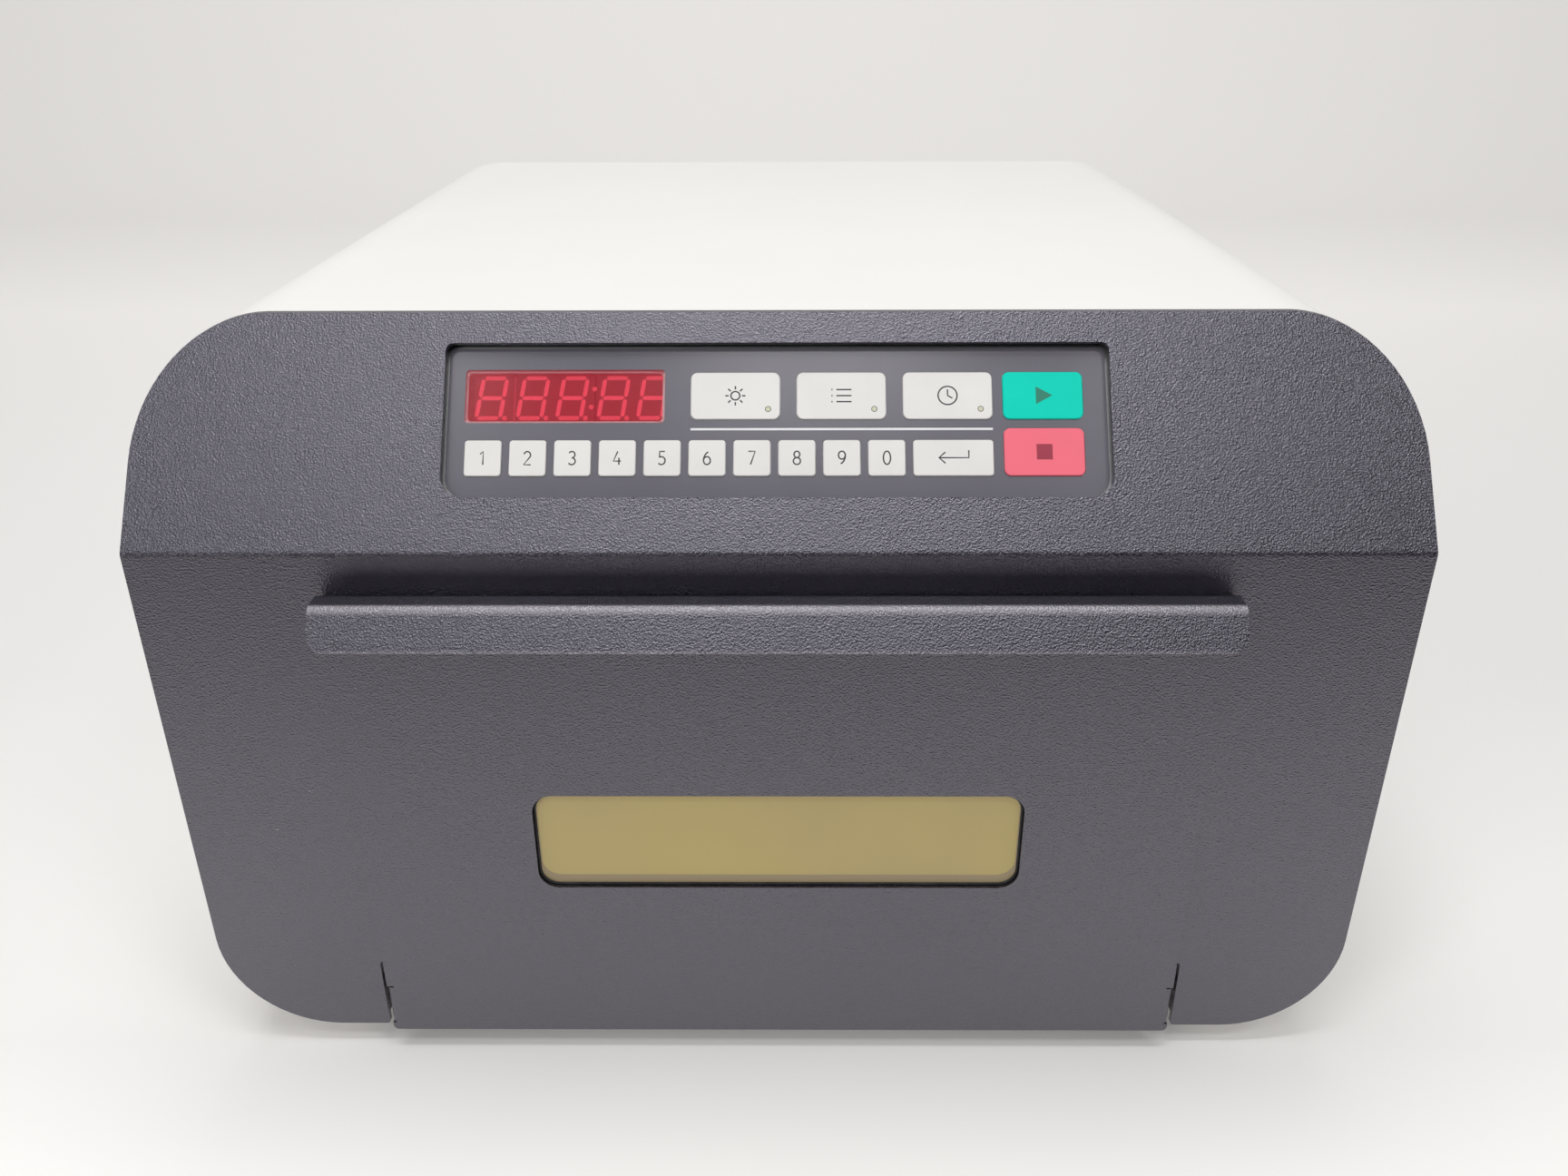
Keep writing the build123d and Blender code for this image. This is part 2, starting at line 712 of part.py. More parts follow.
# ---------------------------------------------------------------- door
# One sheet: panel, flange folded forward, and lip folded down in line with the sloping panel
with BuildPart() as door_panel:
    with BuildSketch(Plane.YZ):
        with BuildLine():
            Polyline(
                (door_back_y, base_z),
                (door_back_y, flange_z),
                (lip_corner_y, flange_z),
                (lip_end_y, lip_end_z),
                (lip_end_y + door_sheet * cos(lip_lean), lip_end_z - door_sheet * sin(lip_lean)),
                (lip_corner_y + door_sheet * tan(radians(slope_angle / 2)), flange_z - door_sheet),
                (door_front_y, flange_z - door_sheet),
                (door_front_y, base_z),
                close=True,
            )
        make_face()
    extrude(amount=door_half_width, both=True)
    bends = door_panel.edges().filter_by(Axis.X)
    fillet(bends.sort_by_distance((0, door_back_y, flange_z))[0], radius=door_bend_radius)
    bends = door_panel.edges().filter_by(Axis.X)
    fillet(
        bends.sort_by_distance((0, door_front_y, flange_z - door_sheet))[0],
        radius=door_bend_radius - door_sheet,
    )
    bends = door_panel.edges().filter_by(Axis.X)
    fillet(bends.sort_by_distance((0, lip_corner_y, flange_z))[0], radius=lip_bend_radius)
    lip_corners = door_panel.edges().filter_by(Axis((0, 0, 0), slope.z_dir))
    fillet(lip_corners, radius=lip_corner_radius)
    foot_corners = door_panel.edges().filter_by(Axis.Y).group_by(Axis.Z)[0]
    fillet(foot_corners, radius=door_corner_radius)
    # Hinge ears, folded back from the sheet, with a relief cut above each bend
    for side in (-1, 1):
        with BuildSketch(side_at(side * door_half_width)):
            with Locations((hinge_y, hinge_z)):
                Circle(ear_radius)
            with Locations((door_back_y - door_sheet / 2, (ear_z + ear_top_z) / 2)):
                Rectangle(door_sheet, ear_height)
            make_hull()
        extrude(amount=-side * ear_sheet)
        with BuildSketch(side_at(side * door_half_width)):
            with Locations((hinge_y, hinge_z)):
                Circle(hinge_pin_radius + hinge_running_clearance)
        extrude(amount=-side * 2 * ear_sheet, mode=Mode.SUBTRACT)
        with BuildSketch(front_at(door_front_y)):
            with Locations((side * door_half_width, ear_top_z + ear_relief / 2)):
                Rectangle(2 * ear_relief_depth, ear_relief)
        extrude(amount=-2 * door_sheet, mode=Mode.SUBTRACT)
        with BuildSketch(Plane.XY.offset(ear_z)):
            bend_x = door_half_width - ear_bend_radius
            bend_y = door_front_y + ear_bend_radius
            with Locations((side * (bend_x + ear_bend_radius / 2), bend_y - ear_bend_radius / 2)):
                Rectangle(ear_bend_radius, ear_bend_radius)
            with Locations((side * bend_x, bend_y)):
                Circle(ear_bend_radius, mode=Mode.SUBTRACT)
        extrude(amount=ear_height, mode=Mode.SUBTRACT)
    with BuildSketch(front_at(door_front_y)):
        with Locations((0, window_z)):
            RectangleRounded(window_width, window_height, window_corner_radius)
    extrude(amount=-2 * door_sheet, both=True, mode=Mode.SUBTRACT)
save(door_panel, "door_panel")

with BuildPart() as window_pane:
    with BuildSketch(front_at(door_back_y)):
        with Locations((0, window_z)):
            RectangleRounded(pane_width, pane_height, window_corner_radius)
    extrude(amount=-pane_thickness)
save(window_pane, "window_pane")

# Frame that holds the pane against the door sheet, from the sheet to the inner tray
retainer_depth = door_liner_depth - liner_sheet
with BuildPart() as window_retainer:
    with BuildSketch(front_at(door_back_y)):
        with Locations((0, window_z)):
            RectangleRounded(
                pane_width + 2 * retainer_border,
                pane_height + 2 * retainer_border,
                window_corner_radius + retainer_border,
            )
            RectangleRounded(window_width, window_height, window_corner_radius, mode=Mode.SUBTRACT)
    extrude(amount=-retainer_depth)
    with BuildSketch(front_at(door_back_y)):
        with Locations((0, window_z)):
            RectangleRounded(
                pane_width + 2 * retainer_fit,
                pane_height + 2 * retainer_fit,
                window_corner_radius + retainer_fit,
            )
    extrude(amount=-pane_thickness, mode=Mode.SUBTRACT)
save(window_retainer, "window_retainer")

with BuildPart() as door_liner:
    tray_height = door_liner_high - door_liner_low
    with BuildSketch(front_at(door_back_y)):
        with Locations((0, (door_liner_high + door_liner_low) / 2)):
            RectangleRounded(door_liner_width, tray_height, mouth_corner_radius)
    extrude(amount=-door_liner_depth)
    with BuildSketch(front_at(door_back_y)):
        with Locations((0, (door_liner_high + door_liner_low) / 2)):
            RectangleRounded(
                door_liner_width - 2 * liner_sheet,
                tray_height - 2 * liner_sheet,
                mouth_corner_radius - liner_sheet,
            )
    extrude(amount=-retainer_depth, mode=Mode.SUBTRACT)
    with BuildSketch(front_at(door_back_y)):
        with Locations((0, window_z)):
            RectangleRounded(window_width, window_height, window_corner_radius)
    extrude(amount=-2 * door_liner_depth, mode=Mode.SUBTRACT)
save(door_liner, "door_liner")

# Steel discs that the magnets catch, and the small magnet that the interlock senses
with BuildPart() as strike_plates:
    with BuildSketch(front_at(door_back_y)):
        with Locations((-catch_x, catch_z), (catch_x, catch_z)):
            Circle(catch_radius)
        with Locations((interlock_x, interlock_z)):
            Circle(interlock_radius)
    extrude(amount=-touch_thickness)
save(strike_plates, "strike_plates")

with BuildPart() as door_bumpers:
    with BuildSketch(front_at(door_back_y)):
        with Locations(*[(s * catch_x, z) for s in (-1, 1) for z in bumper_rows]):
            Circle(bumper_radius)
    extrude(amount=-touch_thickness)
save(door_bumpers, "door_bumpers")

# ---------------------------------------------------------------- hinge and catch on the cabinet
for side, name in ((-1, "hinge_bracket_left"), (1, "hinge_bracket_right")):
    with BuildPart() as hinge_bracket:
        with BuildSketch(side_at(side * bracket_x)):
            with Locations((bezel_back_y + bracket_length / 2, base_top_z + bracket_height / 2)):
                Rectangle(bracket_length, bracket_height)
            with Locations((hinge_y, hinge_z)):
                Circle(hinge_pin_radius, mode=Mode.SUBTRACT)
        extrude(amount=side * bracket_sheet)
        with BuildSketch(front_at(bezel_back_y)):
            with Locations((side * (bracket_x + bracket_flange / 2), base_top_z + bracket_height / 2)):
                Rectangle(bracket_flange, bracket_height)
        extrude(amount=-bracket_sheet)
    save(hinge_bracket, name)

clip_x = door_half_width - ear_sheet - side_play - clip_thickness
collar_x = door_half_width + side_play
pin_end_x = bracket_x + bracket_sheet + clip_thickness
with BuildPart() as hinge_pins:
    for side in (-1, 1):
        with BuildSketch(side_at(side * clip_x)):
            with Locations((hinge_y, hinge_z)):
                Circle(hinge_pin_radius)
        extrude(amount=side * (pin_end_x - clip_x))
        for start, end in (
            (clip_x, clip_x + clip_thickness),
            (collar_x, bracket_x),
            (bracket_x + bracket_sheet, pin_end_x),
        ):
            with BuildSketch(side_at(side * start)):
                with Locations((hinge_y, hinge_z)):
                    Circle(collar_radius)
            extrude(amount=side * (end - start))
save(hinge_pins, "hinge_pins")

with BuildPart() as catch_magnets:
    with BuildSketch(front_at(face_y)):
        with Locations((-catch_x, catch_z), (catch_x, catch_z)):
            Circle(catch_radius)
    extrude(amount=-catch_length)
save(catch_magnets, "catch_magnets")

with BuildPart() as interlock_sensor:
    with BuildSketch(front_at(face_y)):
        with Locations((interlock_x, interlock_z)):
            Circle(interlock_radius)
    extrude(amount=-interlock_length)
save(interlock_sensor, "interlock_sensor")

# ---------------------------------------------------------------- keys
# Each key: name, middle across and up the slope, width, height, corner radius
number_half = key_size / 2
key_row = key_row_low + number_half
mode_row = mode_row_low + mode_height / 2
command_middle = command_left + command_width / 2
start_row = mode_row_low + command_height / 2
stop_row = key_row_low + command_height / 2
keys = []
for i in range(10):
    u = keys_left + number_half + i * key_pitch
    keys.append((f"key_{(i + 1) % 10}", u, key_row, key_size, key_size, key_radius))
for i, name in enumerate(("key_energy", "key_preset", "key_time")):
    u = energy_left + mode_width / 2 + i * mode_pitch
    keys.append((name, u, mode_row, mode_width, mode_height, wide_key_radius))
keys += [
    ("key_enter", enter_left + enter_width / 2, key_row, enter_width, key_size, key_radius),
    ("key_start", command_middle, start_row, command_width, command_height, wide_key_radius),
    ("key_stop", command_middle, stop_row, command_width, command_height, wide_key_radius),
]
for name, u, s, width, height, radius in keys:
    with BuildPart() as key:
        with BuildSketch(slope.offset(overlay_front + key_proud - key_thickness)):
            with Locations((u, s)):
                RectangleRounded(width, height, radius)
        extrude(amount=key_thickness)
        pad_front = key.faces().filter_by(Plane(origin=(0, 0, 0), z_dir=slope.z_dir))
        chamfer(pad_front.sort_by(Axis((0, 0, 0), slope.z_dir))[-1].edges(), length=key_edge_radius)
    save(key, name)

# ---------------------------------------------------------------- keypad and display
display_middle = (display_left + display_width / 2, display_low + display_height / 2)
with BuildPart() as membrane_overlay:
    with BuildSketch(slope.offset(overlay_back)) as overlay_outline:
        with Locations((0, opening_middle)):
            Rectangle(opening_width - 2 * overlay_clearance, opening_height - 2 * overlay_clearance)
        tops = overlay_outline.vertices().group_by(Axis.Y)[-1]
        fillet(tops, radius=opening_top_radius - overlay_clearance)
        bottoms = overlay_outline.vertices().group_by(Axis.Y)[0]
        fillet(bottoms, radius=opening_bottom_radius - overlay_clearance)
        for name, u, s, width, height, radius in keys:
            with Locations((u, s)):
                RectangleRounded(
                    width + 2 * key_clearance,
                    height + 2 * key_clearance,
                    radius + key_clearance,
                    mode=Mode.SUBTRACT,
                )
        with Locations(display_middle):
            RectangleRounded(display_width, display_height, display_radius, mode=Mode.SUBTRACT)
    extrude(amount=overlay_thickness)
save(membrane_overlay, "membrane_overlay")

with BuildPart() as display_window:
    with BuildSketch(slope.offset(overlay_back)):
        with Locations(display_middle):
            RectangleRounded(
                display_width - 2 * display_fit,
                display_height - 2 * display_fit,
                display_radius - display_fit,
            )
    extrude(amount=overlay_thickness)
save(display_window, "display_window")

plate_width = opening_width + 2 * plate_border_x
plate_low = opening_low - plate_border_low
plate_high = opening_low + opening_height + plate_border_high
with BuildPart() as keypad_plate:
    with BuildSketch(slope.offset(plate_back)):
        with Locations((0, (plate_low + plate_high) / 2)):
            Rectangle(plate_width, plate_high - plate_low)
        with Locations(display_middle):
            RectangleRounded(
                display_width - 2 * display_ledge,
                display_height - 2 * display_ledge,
                display_radius,
                mode=Mode.SUBTRACT,
            )
    extrude(amount=keypad_plate_sheet)
save(keypad_plate, "keypad_plate")

with BuildPart() as keypad_spacers:
    with BuildSketch(slope.offset(overlay_back)):
        with Locations((0, opening_middle)):
            with GridLocations(opening_width + plate_border_x, spacer_pitch, 2, spacer_rows):
                Circle(spacer_radius)
    extrude(amount=-bezel_sheet - overlay_back)
save(keypad_spacers, "keypad_spacers")

# Seven-segment modules behind the display window: one single digit and two pairs
digit_row = display_low + digit_middle_low
single_right = display_left + single_digit_inset + digit_width / 2
for name, left, count in (
    ("digit_single", single_right - digit_width, 1),
    ("digit_pair_left", single_right + module_gap, 2),
    ("digit_pair_right", single_right + 2 * (module_gap + digit_width), 2),
):
    with BuildPart() as digit_module:
        with BuildSketch(slope.offset(board_front)):
            with Locations((left + count * digit_width / 2, digit_row)):
                Rectangle(count * digit_width, digit_body_height)
        extrude(amount=digit_body_depth)
    save(digit_module, name)

with BuildPart() as control_board:
    with BuildSketch(slope.offset(board_front)):
        with Locations((0, board_low + board_height / 2)):
            Rectangle(board_width, board_height)
    extrude(amount=-board_thickness)
    with BuildSketch(slope.offset(board_front - board_thickness)):
        with Locations((0, board_low + board_height / 2)):
            with GridLocations(2 * chip_width, 1, 3, 1):
                Rectangle(chip_width, chip_height)
    extrude(amount=-chip_thickness)
    with BuildSketch(slope.offset(board_front - board_thickness)):
        with Locations((board_width / 2 - header_width, board_low + board_height / 2)):
            Rectangle(header_width, header_height)
    extrude(amount=-header_thickness)
save(control_board, "control_board")

with BuildPart() as board_standoffs:
    with BuildSketch(slope.offset(board_front)):
        with Locations((0, board_low + board_height / 2)):
            with GridLocations(
                board_width / 2 - standoff_inset,
                board_height - 2 * standoff_inset,
                3,
                2,
            ):
                Circle(standoff_radius)
    extrude(amount=plate_back - board_front)
save(board_standoffs, "board_standoffs")

# ---------------------------------------------------------------- mains inlet and switch
flange_back_y = back_y + inlet_flange_thickness
cavity_floor_y = flange_back_y - cavity_depth
with BuildPart() as power_inlet:
    with BuildSketch(front_at(back_y)):
        with Locations((inlet_x, inlet_height)):
            RectangleRounded(inlet_flange_width, inlet_flange_height, inlet_flange_thickness)
    extrude(amount=-inlet_flange_thickness)
    with BuildSketch(front_at(back_y)):
        with Locations((inlet_x, inlet_height)):
            Rectangle(inlet_body_width, inlet_body_height)
    extrude(amount=inlet_body_depth)
    # Plug cavity with its two cut corners on top
    with BuildSketch(front_at(flange_back_y)) as cavity:
        with Locations((inlet_x, inlet_height + cavity_rise)):
            Rectangle(cavity_width, cavity_height)
        chamfer(cavity.vertices().group_by(Axis.Y)[-1], length=cavity_chamfer)
    extrude(amount=cavity_depth, mode=Mode.SUBTRACT)
    with BuildSketch(front_at(flange_back_y)):
        with Locations((inlet_x, inlet_height - fuse_drop)):
            Rectangle(fuse_width + 2 * inlet_fit, fuse_height + 2 * inlet_fit)
    extrude(amount=fuse_depth, mode=Mode.SUBTRACT)
save(power_inlet, "power_inlet")

blade_row = inlet_height + cavity_rise
with BuildPart() as inlet_blades:
    with BuildSketch(front_at(cavity_floor_y)):
        with Locations(
            (inlet_x - blade_spacing / 2, blade_row),
            (inlet_x, blade_row + earth_blade_rise),
            (inlet_x + blade_spacing / 2, blade_row),
        ):
            Rectangle(blade_width, blade_height)
    extrude(amount=-blade_length)
save(inlet_blades, "inlet_blades")

with BuildPart() as fuse_drawer:
    with BuildSketch(front_at(flange_back_y + fuse_proud)):
        with Locations((inlet_x, inlet_height - fuse_drop)):
            Rectangle(fuse_width, fuse_height)
    extrude(amount=fuse_depth)
    with BuildSketch(front_at(flange_back_y + fuse_proud)):
        with Locations((inlet_x, inlet_height - fuse_drop)):
            Rectangle(fuse_height, fuse_height / 2)
    extrude(amount=fuse_proud, mode=Mode.SUBTRACT)
save(fuse_drawer, "fuse_drawer")

switch_face_y = back_y + switch_flange_thickness
pivot_y = switch_face_y - rocker_depth
with BuildPart() as switch_frame:
    with BuildSketch(front_at(back_y)):
        with Locations((switch_x, inlet_height)):
            RectangleRounded(switch_flange_width, switch_flange_height, switch_flange_thickness)
    extrude(amount=-switch_flange_thickness)
    with BuildSketch(front_at(back_y)):
        with Locations((switch_x, inlet_height)):
            Rectangle(switch_body_width, switch_body_height)
    extrude(amount=switch_body_depth)
    with BuildSketch(front_at(switch_face_y)):
        with Locations((switch_x, inlet_height)):
            Rectangle(rocker_width + 2 * rocker_side_play, rocker_height + 2 * rocker_play)
    extrude(amount=rocker_well, mode=Mode.SUBTRACT)
    with BuildSketch(side_at(switch_x)):
        with Locations((pivot_y, inlet_height)):
            Circle(trunnion_radius + hinge_running_clearance)
    extrude(amount=rocker_width / 2 + trunnion_length + touch_gap, both=True, mode=Mode.SUBTRACT)
save(switch_frame, "switch_frame")

# Rocker, drawn level about its pivot and tilted so that its top end stands proud
tilt = radians(rocker_tilt)
half_rocker = rocker_height / 2
rocker_front = (back_y + rocker_proud - pivot_y - half_rocker * sin(tilt)) / cos(tilt)
with BuildPart() as power_rocker:
    pivot = Plane(
        origin=(switch_x, pivot_y, inlet_height),
        x_dir=(0, cos(tilt), -sin(tilt)),
        z_dir=(1, 0, 0),
    )
    with BuildSketch(pivot):
        with BuildLine():
            Polyline(
                (-rocker_back, rocker_toe),
                (rocker_front, half_rocker),
                (rocker_front - rocker_dish, 0),
                (rocker_front, -half_rocker),
                (-rocker_back, -rocker_toe),
                close=True,
            )
        make_face()
    extrude(amount=rocker_width / 2, both=True)
    with BuildSketch(pivot):
        Circle(trunnion_radius)
    extrude(amount=rocker_width / 2 + trunnion_length, both=True)
save(power_rocker, "power_rocker")
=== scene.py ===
"""Looks of the ultraviolet crosslinker: materials, printed signs, display, light and camera.

Metres, in the CAD frame: +X right, +Y to the back, +Z up, the origin on the bench.
"""

import json
from math import cos, pi, radians, sin

import bmesh
import bpy
from mathutils import Matrix, Vector


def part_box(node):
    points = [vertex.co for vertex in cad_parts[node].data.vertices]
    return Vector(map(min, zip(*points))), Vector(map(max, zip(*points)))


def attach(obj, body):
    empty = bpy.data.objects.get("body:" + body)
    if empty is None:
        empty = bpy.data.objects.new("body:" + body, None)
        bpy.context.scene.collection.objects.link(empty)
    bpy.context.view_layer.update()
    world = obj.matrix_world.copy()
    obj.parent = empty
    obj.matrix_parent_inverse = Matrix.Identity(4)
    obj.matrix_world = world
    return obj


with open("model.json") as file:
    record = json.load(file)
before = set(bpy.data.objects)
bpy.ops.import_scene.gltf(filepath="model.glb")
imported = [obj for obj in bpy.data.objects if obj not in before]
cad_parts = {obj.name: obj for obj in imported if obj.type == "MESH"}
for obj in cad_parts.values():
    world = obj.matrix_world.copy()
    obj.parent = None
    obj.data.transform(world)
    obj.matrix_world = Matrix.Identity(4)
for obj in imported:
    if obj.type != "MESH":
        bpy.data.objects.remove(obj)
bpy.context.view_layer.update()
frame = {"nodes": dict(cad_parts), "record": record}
nodes = frame["nodes"]

# ------------------------------------------------------------------ places taken from the CAD
mm = 0.001
lean = radians(35.5)
across = Vector((1, 0, 0))
up_slope = Vector((0, sin(lean), cos(lean)))
outward = Vector((0, -cos(lean), sin(lean)))
face_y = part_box("front_bezel")[0].y
underside_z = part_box("front_bezel")[0].z

# The door's lip: its outer bend, and its lower edge farther out, where the coat has painted highlights
lip_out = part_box("door_panel")[0].y
bend_out = face_y - 11.0 * mm
bend_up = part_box("door_panel")[1].z - 1.2 * mm
edge_up = bend_up - 10.1 * mm

# Clear part of the amber pane, seen above the ledge that holds its lower rim; round it the ledge's shade is
# painted on the pane
held_at_sides, held_above_below, ledge_shift = 8.3 * mm, 9.1 * mm, 2.1 * mm
pane_low, pane_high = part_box("window_pane")
pane_middle = (pane_low + pane_high) / 2 + Vector((0, 0, ledge_shift))
pane_half = (pane_high - pane_low) / 2 - Vector((held_at_sides, 0, held_above_below))
pane_corner = 6.5 * mm


def slope_front(node):
    """The middle of the front of a piece that lies in the sloping panel."""
    points = [vertex.co for vertex in nodes[node].data.vertices]
    along = [[point.dot(axis) for point in points] for axis in (across, up_slope)]
    u, s = [(min(values) + max(values)) / 2 for values in along]
    return across * u + up_slope * s + outward * max(point.dot(outward) for point in points)


def placed(origin, right, up):
    """The matrix of a flat drawing whose X runs along right and whose Y runs along up."""
    out = right.cross(up)
    turned = Matrix((right, up, out)).transposed().to_4x4()
    return Matrix.Translation(origin) @ turned


# ------------------------------------------------------------------ material tools
class Value:
    """A socket of a material, so that sums and products of it can be written as usual."""

    def __init__(self, material, socket):
        self.material = material
        self.socket = socket

    def math(self, operation, *others):
        return self.material.math(operation, self, *others)

    def __add__(self, other):
        return self.math("ADD", other)

    def __sub__(self, other):
        return self.math("SUBTRACT", other)

    def __mul__(self, other):
        return self.math("MULTIPLY", other)

    def __pow__(self, other):
        return self.math("POWER", other)

    __radd__ = __add__
    __rmul__ = __mul__

    def between(self, low, high):
        """0 below low, 1 above high, even in between."""
        return self.material.node(
            "ShaderNodeMapRange",
            {"clamp": True},
            {"Value": self, "From Min": low, "From Max": high, "To Min": 0.0, "To Max": 1.0},
        )


class Material:
    """A node material under construction."""

    def __init__(self, name):
        self.data = bpy.data.materials.new(name)
        self.data.use_nodes = True
        self.tree = self.data.node_tree
        self.tree.nodes.clear()
        self.position = self.node("ShaderNodeTexCoord", output="Object")

    def node(self, kind, settings=None, sockets=None, output=0):
        made = self.tree.nodes.new(kind)
        for name, value in (settings or {}).items():
            setattr(made, name, value)
        for name, value in (sockets or {}).items():
            if isinstance(value, Value):
                self.tree.links.new(value.socket, made.inputs[name])
            else:
                made.inputs[name].default_value = value
        return Value(self, made.outputs[output]) if made.outputs else made

    def math(self, operation, *values):
        return self.node("ShaderNodeMath", {"operation": operation}, dict(enumerate(values)))

    def noise(self, scale, detail=2.0, roughness=0.5, at=None):
        sockets = {"Vector": at or self.position, "Scale": scale}
        sockets.update({"Detail": detail, "Roughness": roughness})
        return self.node("ShaderNodeTexNoise", {}, sockets)

    def cells(self, scale, randomness=1.0, at=None):
        sockets = {"Vector": at or self.position, "Scale": scale, "Randomness": randomness}
        return self.node("ShaderNodeTexVoronoi", {}, sockets)

    def axis(self, letter):
        """One coordinate of the place on the object."""
        parts = self.tree.nodes.new("ShaderNodeSeparateXYZ")
        self.tree.links.new(self.position.socket, parts.inputs["Vector"])
        return Value(self, parts.outputs[letter])

    def stretched(self, x, y, z):
        """The place on the object, scaled unevenly, for brushed and drawn surfaces."""
        return self.node("ShaderNodeMapping", {}, {"Vector": self.position, "Scale": (x, y, z)})

    def mix(self, factor, first, second):
        settings = {"data_type": "RGBA"}
        return self.node("ShaderNodeMix", settings, {0: factor, 6: first, 7: second}, output=2)

    def bump(self, height, strength, distance):
        sockets = {"Height": height, "Strength": strength, "Distance": distance}
        return self.node("ShaderNodeBump", {}, sockets)

    def surface(self, **sockets):
        named = {name.replace("_", " "): value for name, value in sockets.items()}
        shader = self.node("ShaderNodeBsdfPrincipled", {}, named)
        self.node("ShaderNodeOutputMaterial", {}, {"Surface": shader})
        return self.data


def rgb(red, green, blue):
    """A colour as the sockets take it, opaque."""
    return (red, green, blue, 1.0)


# ------------------------------------------------------------------ materials
def coarse_coat():
    """Dark coarse powder coat: painted glints, smudges, dust, painted highlights at the lip's bend and
    edge.
    """
    m = Material("dark_powder_coat")
    grain = m.noise(1450.0, 2.0, 0.65)
    pits = m.cells(1650.0)
    # Painted glints: sparse pale specks in the base colour stand for the grain's sparkle in the light
    painted_glint_mask = pits.between(0.22, 0.08) * grain.between(0.50, 0.62)
    height = grain + pits * 0.7
    smudge = m.noise(14.0, 5.0, 0.62).between(0.46, 0.72)
    specks = m.cells(75.0).between(0.022, 0.014) * m.noise(9.0, 2.0, 0.5).between(0.50, 0.62)
    dark = m.mix(smudge, rgb(0.0050, 0.0048, 0.0085), rgb(0.0075, 0.0070, 0.0115))
    with_painted_glints = m.mix(painted_glint_mask * 0.60, dark, rgb(0.28, 0.27, 0.31))
    out, up = m.axis("Y"), m.axis("Z")
    # Painted highlight: paler base colour along the lip's outer bend and, fainter, its lower edge, where
    # light catches them
    bend_highlight_mask = up.between(bend_up - 1.2 * mm, bend_up) * out.between(bend_out + 1.4 * mm, bend_out)
    edge_highlight_mask = up.between(edge_up + 0.4 * mm, edge_up) * out.between(lip_out + 2.7 * mm, lip_out + 1.9 * mm)
    with_painted_highlights = m.mix(bend_highlight_mask * 0.85 + edge_highlight_mask * 0.30, with_painted_glints, rgb(0.20, 0.195, 0.20))
    return m.surface(
        Base_Color=m.mix(specks * 0.7, with_painted_highlights, rgb(0.55, 0.54, 0.52)),
        Roughness=0.24 + 0.10 * grain + 0.06 * smudge + 0.3 * specks,
        IOR=2.2,
        Specular_Tint=rgb(0.905, 0.865, 1.0),
        Normal=m.bump(height, 0.50, 0.00046),
    )


def smooth_coat():
    """Warm white powder coat with a faint orange peel."""
    m = Material("white_powder_coat")
    peel = m.noise(420.0, 2.0, 0.5)
    cloud = m.noise(9.0, 3.0, 0.6)
    colour = m.mix(cloud.between(0.3, 0.7), rgb(0.895, 0.878, 0.848), rgb(0.915, 0.900, 0.872))
    return m.surface(
        Base_Color=colour,
        Roughness=0.34 + 0.14 * peel,
        Normal=m.bump(peel, 0.12, 0.0002),
    )


def metal(name, colour, roughness, stretch, worn=0.1):
    """Bare or plated metal, with fine lines drawn along one direction."""
    m = Material(name)
    lines = m.noise(1.0, 4.0, 0.6, at=m.stretched(*stretch))
    cloud = m.noise(25.0, 4.0, 0.65)
    dull = tuple(c * (1.0 - worn) for c in colour)
    shade = m.mix(cloud.between(0.35, 0.7), rgb(*colour), rgb(*dull))
    return m.surface(
        Base_Color=shade,
        Metallic=1.0,
        Roughness=roughness + 0.14 * lines + 0.06 * cloud,
        Normal=m.bump(lines, 0.10, 0.00005),
    )


def plastic(name, colour, roughness, grain=1500.0, depth=0.12, change=0.12, **more):
    """Moulded or cast plastic, with a fine skin and slight changes of shade."""
    m = Material(name)
    skin = m.noise(grain, 2.0, 0.5)
    cloud = m.noise(40.0, 4.0, 0.6)
    deeper = tuple(c * (1.0 - change) for c in colour)
    return m.surface(
        Base_Color=m.mix(cloud.between(0.3, 0.7), rgb(*colour), rgb(*deeper)),
        Roughness=roughness + 0.10 * skin,
        Normal=m.bump(skin, depth, 0.0001),
        **more,
    )


def film(name, colour, roughness=0.3, **more):
    """Printed polyester film: nearly smooth, with a very fine texture."""
    m = Material(name)
    texture = m.noise(2600.0, 2.0, 0.5)
    sag = m.noise(28.0, 2.0, 0.5)
    cloud = m.noise(60.0, 3.0, 0.5)
    deeper = tuple(c * 0.95 for c in colour)
    return m.surface(
        Base_Color=m.mix(cloud.between(0.3, 0.7), rgb(*colour), rgb(*deeper)),
        Roughness=roughness + 0.08 * texture,
        Normal=m.bump(texture * 0.05 + sag, 0.10, 0.0006),
        **more,
    )


def rubber():
    """Moulded black rubber with a little pale dust."""
    m = Material("black_rubber")
    dust = m.noise(90.0, 5.0, 0.7)
    skin = m.noise(1800.0, 2.0, 0.5)
    return m.surface(
        Base_Color=m.mix(dust.between(0.45, 0.8), rgb(0.018, 0.018, 0.018), rgb(0.06, 0.058, 0.055)),
        Roughness=0.72 + 0.15 * skin,
        Normal=m.bump(skin, 0.25, 0.0002),
    )


def laminate():
    """Green circuit board with copper runs under the lacquer."""
    m = Material("circuit_laminate")
    runs = m.node(
        "ShaderNodeTexBrick",
        {"offset": 0.5},
        {"Vector": m.position, "Scale": 90.0, "Mortar Size": 0.03},
        output="Fac",
    )
    weave = m.noise(1600.0, 2.0, 0.5)
    colour = m.mix(runs, rgb(0.02, 0.16, 0.07), rgb(0.05, 0.30, 0.12))
    return m.surface(Base_Color=colour, Roughness=0.25 + 0.1 * weave, Normal=m.bump(weave, 0.1, 0.0001))


